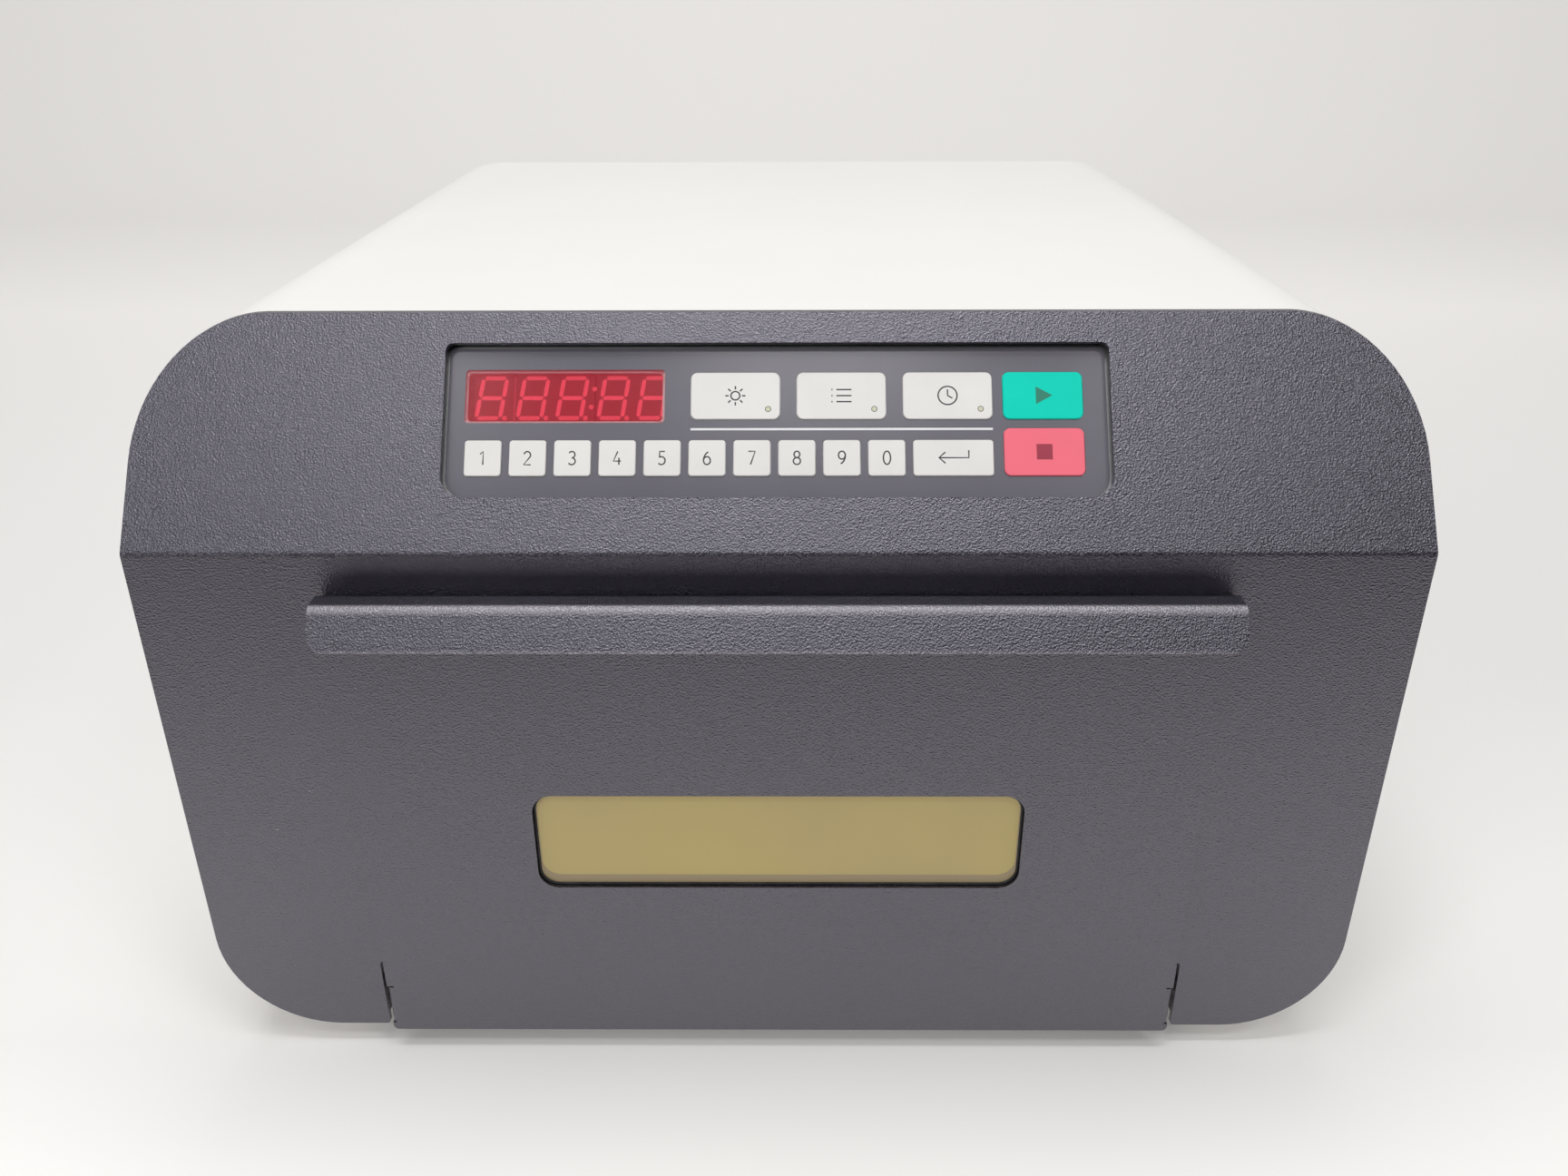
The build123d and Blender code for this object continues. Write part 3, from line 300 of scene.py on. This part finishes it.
def amber():
    """Amber sheet: the ledge that holds its rim, seen through it, is painted in as a darker, greyer band of
    shade.
    """
    m = Material("amber_sheet")
    across_sheet = m.axis("X").math("ABSOLUTE") - (pane_half.x - pane_corner)
    up_sheet = (m.axis("Z") - pane_middle.z).math("ABSOLUTE") - (pane_half.z - pane_corner)
    squares = across_sheet.math("MAXIMUM", 0.0) ** 2.0 + up_sheet.math("MAXIMUM", 0.0) ** 2.0
    ledge_shade_mask = (squares ** 0.5).between(pane_corner - 0.1 * mm, pane_corner + 0.1 * mm)
    cloud = m.noise(14.0, 2.0, 0.5).between(0.35, 0.65)
    dust = m.cells(420.0).between(0.10, 0.04) * m.noise(60.0, 3.0, 0.6).between(0.56, 0.66)
    tone = m.mix(cloud, rgb(0.568, 0.452, 0.166), rgb(0.535, 0.420, 0.184))
    # Painted shade: a darker, greyer band along the rim stands for the ledge seen through the sheet
    with_painted_ledge_shade = m.mix(ledge_shade_mask, tone, rgb(0.375, 0.292, 0.167))
    return m.surface(
        Base_Color=m.mix(dust * 0.5, with_painted_ledge_shade, rgb(0.6, 0.58, 0.5)),
        Roughness=0.12 + 0.30 * dust,
        Alpha=0.88,
        IOR=1.49,
    )


def tube_glass():
    """Clear glass of the lamp tubes, with a thin haze."""
    m = Material("tube_glass")
    haze = m.noise(70.0, 3.0, 0.6)
    return m.surface(
        Base_Color=m.mix(haze, rgb(0.80, 0.84, 0.88), rgb(0.90, 0.92, 0.94)),
        Roughness=0.05 + 0.06 * haze,
        Alpha=0.45,
        IOR=1.5,
    )


def red_window():
    """Clear red acrylic in front of the digits."""
    m = Material("red_display_window")
    haze = m.noise(50.0, 3.0, 0.6)
    return m.surface(
        Base_Color=m.mix(haze.between(0.3, 0.7), rgb(0.56, 0.020, 0.045), rgb(0.52, 0.018, 0.042)),
        Roughness=0.16 + 0.08 * haze,
        Alpha=0.42,
        IOR=1.49,
    )


def glowing(name, colour, glow, strength):
    """A display segment: diffusing plastic with a faint glow of its own."""
    m = Material(name)
    mottle = m.noise(900.0, 2.0, 0.5)
    dimmer = tuple(c * 0.86 for c in colour)
    return m.surface(
        Base_Color=m.mix(mottle, rgb(*colour), rgb(*dimmer)),
        Roughness=0.5,
        Emission_Color=m.mix(mottle, rgb(*glow), rgb(*(c * 0.8 for c in glow))),
        Emission_Strength=strength,
    )


along_x = (30.0, 2400.0, 2400.0)
along_y = (2400.0, 30.0, 2400.0)
finish = {
    "white_coat": smooth_coat(),
    "dark_coat": coarse_coat(),
    "bright_sheet": metal("bright_sheet", (0.84, 0.85, 0.87), 0.40, along_y, 0.05),
    "zinc_sheet": metal("zinc_sheet", (0.56, 0.57, 0.58), 0.32, along_x, 0.22),
    "black_steel": plastic("black_steel", (0.020, 0.020, 0.023), 0.38, grain=900.0),
    "turned_steel": metal("turned_steel", (0.60, 0.60, 0.61), 0.24, along_x),
    "nickel": metal("nickel", (0.66, 0.64, 0.61), 0.18, along_y),
    "rubber_black": rubber(),
    "amber_acrylic": amber(),
    "black_plastic": plastic("black_plastic", (0.018, 0.018, 0.020), 0.42),
    "rocker_plastic": plastic("rocker_plastic", (0.014, 0.014, 0.015), 0.2, depth=0.05),
    "white_plastic": plastic("white_plastic", (0.78, 0.76, 0.70), 0.4),
    "tube_glass": tube_glass(),
    "cap_aluminium": metal("cap_aluminium", (0.72, 0.73, 0.74), 0.28, along_x),
    "grey_enamel": plastic("grey_enamel", (0.22, 0.24, 0.26), 0.35, grain=700.0),
    "overlay_grey": film("grey_film", (0.132, 0.125, 0.152), 0.18),
    "key_white": film("white_film", (0.755, 0.738, 0.718)),
    "key_green": film("green_film", (0.002, 0.650, 0.500), IOR=1.2),
    "key_red": film("red_film", (0.900, 0.172, 0.232), IOR=1.25),
    "display_red": red_window(),
    "digit_face": plastic("digit_face", (0.26, 0.018, 0.024), 0.45),
    "board_green": laminate(),
    "brass": metal("brass", (0.72, 0.52, 0.22), 0.24, along_y),
}
slots_of = {part["node"]: part["material_slot"] for part in frame["record"]["subparts"]}
for name, thing in nodes.items():
    thing.data.materials.clear()
    thing.data.materials.append(finish[slots_of[name]])
    thing.data.shade_smooth()
    thing.data.set_sharp_from_angle(angle=radians(28))

# Soft edges on what is seen from close by
for name in ("front_bezel", "door_panel", "outer_cover", "rear_panel", "power_inlet", "switch_frame"):
    soft = nodes[name].modifiers.new("soft_edges", "BEVEL")
    soft.width = 0.25 * mm
    soft.segments = 2
    soft.limit_method = "ANGLE"
    soft.angle_limit = radians(40)
    soft.harden_normals = True


# ------------------------------------------------------------------ printed signs
ink_height = 0.03 * mm


def piece(name, mesh, body, material):
    """A new object that moves with a body and belongs to a material slot of the record."""
    thing = bpy.data.objects.new(name, mesh)
    bpy.context.scene.collection.objects.link(thing)
    thing.data.materials.append(material)
    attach(thing, body)
    return thing


def arc(x, y, rx, ry, start, end, steps=18):
    """Points on an ellipse from one angle to another, in degrees, anticlockwise from the right."""
    turn = (end - start) / steps
    angles = [radians(start + turn * i) for i in range(steps + 1)]
    return [(x + rx * cos(a), y + ry * sin(a)) for a in angles]


def circle(x, y, radius, steps=36):
    """A round line whose last point is its first."""
    return arc(x, y, radius, radius, 0, 360, steps)


def disc(x, y, radius, steps=16):
    """The outline of a round plate."""
    return circle(x, y, radius, steps)[:-1]


def strokes(name, lines, width, matrix, body, material, height=ink_height):
    """Ink lines of even width with round ends, laid flat on a surface."""
    curve = bpy.data.curves.new(name, "CURVE")
    curve.dimensions = "3D"
    curve.bevel_depth = width / 2
    curve.bevel_resolution = 3
    curve.use_fill_caps = True
    for line in lines:
        spline = curve.splines.new("POLY")
        spline.points.add(len(line) - 1)
        for point, (x, y) in zip(spline.points, line):
            point.co = (x, y, 0.0, 1.0)
    thing = bpy.data.objects.new(name, curve)
    bpy.context.scene.collection.objects.link(thing)
    flat = Matrix.Diagonal((1.0, 1.0, 2 * height / width, 1.0))
    thing.matrix_world = matrix @ flat
    graph = bpy.context.evaluated_depsgraph_get()
    mesh = bpy.data.meshes.new_from_object(thing.evaluated_get(graph))
    mesh.transform(thing.matrix_world)
    mesh.shade_smooth()
    bpy.data.objects.remove(thing)
    return piece(name, mesh, body, material)


def plates(name, outlines, thickness, matrix, body, material):
    """Flat shapes of an even thickness, each given by its outline."""
    bm = bmesh.new()
    for outline in outlines:
        low = [bm.verts.new((x, y, 0.0)) for x, y in outline]
        high = [bm.verts.new((x, y, thickness)) for x, y in outline]
        bm.faces.new(reversed(low))
        bm.faces.new(high)
        for i, vertex in enumerate(low):
            j = (i + 1) % len(low)
            bm.faces.new((vertex, low[j], high[j], high[i]))
    mesh = bpy.data.meshes.new(name)
    bm.to_mesh(mesh)
    bm.free()
    mesh.transform(matrix)
    return piece(name, mesh, body, material)


numerals = {
    "0": [arc(0.26, 0.5, 0.26, 0.5, 0, 360, 36)],
    "1": [[(0.08, 0.80), (0.30, 1.0), (0.30, 0.0)]],
    "2": [arc(0.25, 0.73, 0.24, 0.27, 165, -35) + [(0.0, 0.0), (0.52, 0.0)]],
    "3": [arc(0.23, 0.76, 0.23, 0.24, 150, -90), arc(0.23, 0.26, 0.26, 0.26, 90, -150)],
    "4": [[(0.30, 1.0), (0.0, 0.27), (0.54, 0.27)], [(0.40, 0.52), (0.40, 0.0)]],
    "5": [[(0.46, 1.0), (0.09, 1.0), (0.07, 0.58)] + arc(0.22, 0.30, 0.27, 0.30, 118, -142)],
    "6": [arc(0.26, 0.30, 0.25, 0.30, 0, 360, 36), arc(0.56, 0.30, 0.55, 0.70, 180, 112)],
    "7": [[(0.0, 1.0), (0.50, 1.0), (0.16, 0.0)]],
    "8": [arc(0.26, 0.76, 0.21, 0.24, 0, 360, 36), arc(0.26, 0.26, 0.26, 0.26, 0, 360, 36)],
    "9": [arc(0.26, 0.70, 0.25, 0.30, 0, 360, 36), arc(-0.04, 0.70, 0.55, 0.70, 0, -68)],
}
ink = plastic("grey_ink", (0.028, 0.028, 0.030), 0.5)
green_ink = plastic("green_ink", (0.01, 0.20, 0.13), 0.5)
red_ink = plastic("red_ink", (0.33, 0.02, 0.05), 0.5)
white_ink = plastic("white_ink", (0.80, 0.80, 0.82), 0.5)
stroke = 0.46 * mm


def key_place(name, right=0.0, up=0.0):
    """A drawing plane on the front of a key, off its centre by right and up."""
    return placed(slope_front(name) + across * right + up_slope * up, across, up_slope)


def sized(lines, size):
    """Lines drawn in a unit of their own, at the real size of that unit."""
    return [[(x * size, y * size) for x, y in line] for line in lines]


numeral_height = 4.3 * mm
numeral_width = 0.52 * numeral_height
for sign, lines in numerals.items():
    place = key_place(f"key_{sign}", -numeral_width / 2, -numeral_height / 2)
    drawn = sized(lines, numeral_height)
    strokes(f"numeral_{sign}", drawn, stroke, place, f"key_{sign}", ink)

# Plain signs on the wide keys, drawn in millimetres
rays = [
    [(2.1 * cos(a), 2.1 * sin(a)), (3.2 * cos(a), 3.2 * sin(a))]
    for a in [i * pi / 4 for i in range(8)]
]
sun = [circle(0, 0, 1.4, 28)] + rays
rows = [[(-1.6, y), (3.2, y)] for y in (-2.0, 0.0, 2.0)]
marks = [[(-3.2, y), (-2.8, y)] for y in (-2.0, 0.0, 2.0)]
clock = [circle(0, 0, 3.0), [(0.0, 2.0), (0.0, 0.0), (1.5, -0.9)]]
arrow = [[(4.8, 2.4), (4.8, 0.0), (-4.6, 0.0)], [(-2.6, 1.8), (-4.6, 0.0), (-2.6, -1.8)]]
signs = {"key_energy": sun, "key_preset": rows + marks, "key_time": clock, "key_enter": arrow}
for name, lines in signs.items():
    strokes(f"sign_{name}", sized(lines, mm), stroke, key_place(name), name, ink)
play = sized([[(-2.2, -2.9), (3.0, 0.0), (-2.2, 2.9)]], mm)
stop = sized([[(-2.5, -2.5), (2.5, -2.5), (2.5, 2.5), (-2.5, 2.5)]], mm)
plates("sign_key_start", play, ink_height, key_place("key_start"), "key_start", green_ink)
plates("sign_key_stop", stop, ink_height, key_place("key_stop"), "key_stop", red_ink)

# Small round lamp window low on the right of each mode key
lamp_tint = plastic("lamp_tint", (0.62, 0.60, 0.45), 0.3)
lamp_right, lamp_up = 10.4 * mm, -4.4 * mm
lamp_radius, lamp_height = 0.75 * mm, 0.02 * mm
ring_radius, ring_width = 0.85 * mm, 0.22 * mm
ring = [circle(0, 0, ring_radius, 28)]
lamp = [disc(0, 0, lamp_radius, 28)]
for name in ("key_energy", "key_preset", "key_time"):
    spot = key_place(name, lamp_right, lamp_up)
    strokes(f"lamp_ring_{name}", ring, ring_width, spot, name, ink)
    plates(f"lamp_spot_{name}", lamp, lamp_height, spot, name, lamp_tint)

# White rule between the two rows of keys
crease_rise = 192 * mm
film_depth = 4.0 * mm
rule_rise, rule_width = 41.1 * mm, 0.75 * mm
rule_left, rule_right = -27.3 * mm, 68.3 * mm
crease = Vector((0.0, face_y, underside_z + crease_rise))
rule = placed(crease + up_slope * rule_rise - outward * film_depth, across, up_slope)
rule_ends = [(rule_left, 0.0), (rule_right, 0.0)]
strokes("rule_line", [rule_ends], rule_width, rule, "cabinet", white_ink)

# Black strip of painted shade round the window, in the corner between the pane and the door sheet
upright = Vector((0, 0, 1))
shade_strip_width, shade_strip_height = 0.9 * mm, 0.6 * mm
shade_strip_inset, shade_strip_corner = 7.45 * mm, 6.5 * mm
shade_strip_half = (pane_high - pane_low) / 2 - Vector((shade_strip_inset, 0, shade_strip_inset))
shade_strip_middle = Vector((0.0, pane_low.y, (pane_low.z + pane_high.z) / 2))
shade_strip_x, shade_strip_z = shade_strip_half.x - shade_strip_corner, shade_strip_half.z - shade_strip_corner
shade_strip_line = []
for i, (side, end) in enumerate(((1, 1), (-1, 1), (-1, -1), (1, -1))):
    shade_strip_line += arc(side * shade_strip_x, end * shade_strip_z, shade_strip_corner, shade_strip_corner, 90 * i, 90 * i + 90, 10)
shade_strip_line.append(shade_strip_line[0])
shade_strip_place = placed(shade_strip_middle, across, upright)
black = finish["rubber_black"]
strokes("window_corner_shade", [shade_strip_line], shade_strip_width, shade_strip_place, "door", black, shade_strip_height)

# ------------------------------------------------------------------ display digits
lit = glowing("segment_glow", (0.72, 0.07, 0.11), (1.0, 0.10, 0.16), 1.10)
faint = glowing("segment_faint", (0.66, 0.07, 0.10), (1.0, 0.10, 0.15), 0.95)
digit_height = 14.6 * mm
digit_span = 8.9 * mm
digit_rise = 1.1 * mm
digit_shift = -0.75 * mm
slant = 0.15
bar = 1.35 * mm
bar_gap = 0.26 * mm
bar_height = 0.05 * mm
point_radius = 0.8 * mm
point_right = 1.5 * mm


def segment(x0, y0, x1, y1):
    """One bar of a digit with pointed ends, slanted to the right."""
    h = bar / 2
    if abs(x1 - x0) > abs(y1 - y0):
        x0, x1 = x0 + bar_gap, x1 - bar_gap
        shape = [(x0, y0), (x0 + h, y0 - h), (x1 - h, y0 - h), (x1, y0), (x1 - h, y0 + h), (x0 + h, y0 + h)]
    else:
        y0, y1 = y0 + bar_gap, y1 - bar_gap
        shape = [(x0, y0), (x0 + h, y0 + h), (x0 + h, y1 - h), (x0, y1), (x0 - h, y1 - h), (x0 - h, y0 + h)]
    return [(x + slant * y, y) for x, y in shape]


def digit_outlines(x):
    """The five bright bars of a digit centred on x, then its two faint bars and its point."""
    w = (digit_span - bar) / 2
    h = (digit_height - bar) / 2
    bright = [segment(side * w, low, side * w, low + h) for side in (-1, 1) for low in (-h, 0.0)]
    bright.append(segment(-w, 0.0, w, 0.0))
    pale = [segment(-w, y, w, y) for y in (-h, h)]
    pale.append(disc(w + point_right - slant * h, -h, point_radius))
    return [[[(x + px, py) for px, py in outline] for outline in group] for group in (bright, pale)]


pitch = 12.6 * mm
for name, offsets in (
    ("digit_single", [0.0]),
    ("digit_pair_left", [-pitch / 2, pitch / 2]),
    ("digit_pair_right", [-pitch / 2, pitch / 2]),
):
    on = placed(slope_front(name) + up_slope * digit_rise, across, up_slope)
    digits = [digit_outlines(x + digit_shift) for x in offsets]
    for tone, group, material in (("bright", 0, lit), ("faint", 1, faint)):
        shapes = [outline for digit in digits for outline in digit[group]]
        plates(f"segments_{tone}_{name}", shapes, bar_height, on, "cabinet", material)

# Colon between the two pairs, and the seam where the single module ends
colon_right, colon_half = pitch - 0.5 * mm, 3.0 * mm
colon_at = slope_front("digit_pair_left") + across * colon_right + up_slope * digit_rise
colon = [disc(slant * y, y, point_radius) for y in (-colon_half, colon_half)]
colon_place = placed(colon_at, across, up_slope)
seam_right, seam_x, seam_y, seam_height = 6.6 * mm, 0.3 * mm, 8.0 * mm, 0.04 * mm
seam = [(-seam_x, -seam_y), (seam_x, -seam_y), (seam_x, seam_y), (-seam_x, seam_y)]
seam_tint = plastic("seam_tint", (0.62, 0.10, 0.14), 0.4)
seam_place = placed(slope_front("digit_single") + across * seam_right, across, up_slope)
plates("module_seam", [seam], seam_height, seam_place, "cabinet", seam_tint)
plates("colon", colon, bar_height, colon_place, "cabinet", faint)

# ------------------------------------------------------------------ bench and backdrop
stage_colour = (0.86, 0.845, 0.832)


def stage_material(name, colour, seen):
    """Pale surface that lights plainly and looks paler to the camera and in reflections.

    Its own glow is full on the wall and in front of the door, and dim on the bench beside and
    under the object, so that the shadow there stays.
    """
    m = Material(name)
    mottle = m.noise(3.0, 3.0, 0.5)
    base = m.mix(mottle, rgb(*colour), rgb(*(c * 0.985 for c in colour)))
    path = m.tree.nodes.new("ShaderNodeLightPath")
    kinds = ("Camera", "Glossy", "Transmission")
    camera_ray, glossy_ray, through_ray = [Value(m, path.outputs[f"Is {kind} Ray"]) for kind in kinds]
    sees = (camera_ray + glossy_ray + through_ray).math("MINIMUM", 1.0)
    far = (m.axis("Z") + 0.25 * m.axis("Y")).between(0.02, 0.24)
    near = m.axis("Y").between(face_y, face_y - 0.15)
    dim, full = rgb(*(c * 0.22 for c in seen)), rgb(*seen)
    paleness = m.mix(far, dim, full)
    paleness = m.mix(near * 0.95, paleness, full)
    paleness = m.mix(glossy_ray * 0.5, paleness, full)
    matt = m.node("ShaderNodeBsdfDiffuse", {}, {"Color": base})
    glow = m.node("ShaderNodeEmission", {}, {"Color": paleness, "Strength": 0.34})
    both = m.node("ShaderNodeAddShader", {}, {0: matt, 1: glow})
    mixed = m.node("ShaderNodeMixShader", {}, {0: sees, 1: matt, 2: both})
    m.node("ShaderNodeOutputMaterial", {}, {"Surface": mixed})
    return m.data


def sweep():
    """Bench top that runs back into a wall with a wide curve."""
    bm = bmesh.new()
    half, near, far, radius, top = 4.0, -4.0, 1.6, 0.5, 3.5
    line = [(near, 0.0), (far, 0.0)]
    turns = [radians(6 * i) for i in range(1, 16)]
    line += [(far + radius * sin(a), radius - radius * cos(a)) for a in turns]
    line += [(far + radius, top)]
    rows_of = [[bm.verts.new((x, y, z)) for x in (-half, half)] for y, z in line]
    for one, two in zip(rows_of, rows_of[1:]):
        bm.faces.new((one[0], one[1], two[1], two[0]))
    mesh = bpy.data.meshes.new("bench_and_wall")
    bm.to_mesh(mesh)
    bm.free()
    mesh.shade_smooth()
    thing = bpy.data.objects.new("bench_and_wall", mesh)
    bpy.context.scene.collection.objects.link(thing)
    mesh.materials.append(stage_material("pale_bench", stage_colour, (1.0, 0.97, 0.94)))


sweep()


def dark_screen():
    """Low black screen in front of the bench, seen only as a reflection in glossy surfaces."""
    half, height, away = 1.1, 0.46, 0.43
    corners = ((-half, 0.0), (half, 0.0), (half, height), (-half, height))
    mesh = bpy.data.meshes.new("dark_screen")
    mesh.from_pydata([(x, face_y - away, z) for x, z in corners], [], [(0, 1, 2, 3)])
    thing = bpy.data.objects.new("dark_screen", mesh)
    bpy.context.scene.collection.objects.link(thing)
    mesh.materials.append(plastic("black_cloth", (0.004, 0.004, 0.005), 0.9))
    thing.visible_camera = False
    thing.visible_diffuse = False
    thing.visible_shadow = False
    thing.visible_transmission = False


dark_screen()


# ------------------------------------------------------------------ light
def softbox(name, place, target, size, power):
    """Rectangular lamp aimed at a point."""
    light = bpy.data.lights.new(name, "AREA")
    light.shape = "RECTANGLE"
    light.size, light.size_y = size
    light.energy = power
    thing = bpy.data.objects.new(name, light)
    bpy.context.scene.collection.objects.link(thing)
    thing.location = place
    aim = (Vector(target) - Vector(place)).to_track_quat("-Z", "Y")
    thing.rotation_euler = aim.to_euler()


softbox("overhead", (-0.1, -0.05, 1.8), (0.0, -0.10, 0.1), (1.1, 0.8), 10.4)
softbox("long_tube", (0.05, -0.62, 1.9), (0.0, -0.2, 0.2), (1.3, 0.10), 6.5)
upper_power, lower_power = 3.0, 0.7
for i, (x, share) in enumerate(((-0.75, 0.60), (0.05, 0.72), (0.85, 1.25)), start=1):
    upper, lower = (x, -1.15, 1.8), (x + 0.4, -1.6, 1.45)
    softbox(f"upper_panel_{i}", upper, (0.0, -0.1, 0.2), (0.45, 0.26), upper_power * share)
    softbox(f"lower_panel_{i}", lower, (0.0, -0.1, 0.2), (0.45, 0.20), lower_power * share)
softbox("front_fill", (-1.0, -1.7, 1.1), (-0.1, -0.4, 0.0), (1.0, 0.7), 9.0)


def studio_world():
    """Even white light from all round, with a pale backdrop where the camera looks past the stage."""
    world = bpy.data.worlds.new("studio")
    bpy.context.scene.world = world
    world.use_nodes = True
    tree = world.node_tree
    light_all_round = tree.nodes["Background"]
    light_all_round.inputs["Color"].default_value = rgb(1.0, 1.0, 1.0)
    light_all_round.inputs["Strength"].default_value = 0.22
    backdrop = tree.nodes.new("ShaderNodeBackground")
    backdrop.inputs["Color"].default_value = rgb(0.86, 0.84, 0.82)
    path = tree.nodes.new("ShaderNodeLightPath")
    chosen = tree.nodes.new("ShaderNodeMixShader")
    tree.links.new(path.outputs["Is Camera Ray"], chosen.inputs[0])
    tree.links.new(light_all_round.outputs["Background"], chosen.inputs[1])
    tree.links.new(backdrop.outputs["Background"], chosen.inputs[2])
    tree.links.new(chosen.outputs["Shader"], tree.nodes["World Output"].inputs["Surface"])


studio_world()

# ------------------------------------------------------------------ camera
yaw, pitch_down, roll = radians(-0.486), radians(25.748), radians(0.231)
ahead = Vector((sin(yaw) * cos(pitch_down), cos(yaw) * cos(pitch_down), -sin(pitch_down)))
level = Vector((cos(yaw), -sin(yaw), 0.0))
under = ahead.cross(level)
right = cos(roll) * level + sin(roll) * under
down = -sin(roll) * level + cos(roll) * under
camera = bpy.data.objects.new("camera", bpy.data.cameras.new("camera"))
bpy.context.scene.collection.objects.link(camera)
camera.data.sensor_width = 36.0
camera.data.lens = 29.33
camera.data.clip_start = 0.01
at = Vector((5.37 * mm, face_y - 358.61 * mm, 363.42 * mm))
turn = Matrix((right, -down, -ahead)).transposed().to_4x4()
camera.matrix_world = Matrix.Translation(at) @ turn
bpy.context.scene.camera = camera

bpy.context.scene.view_settings.view_transform = "Standard"
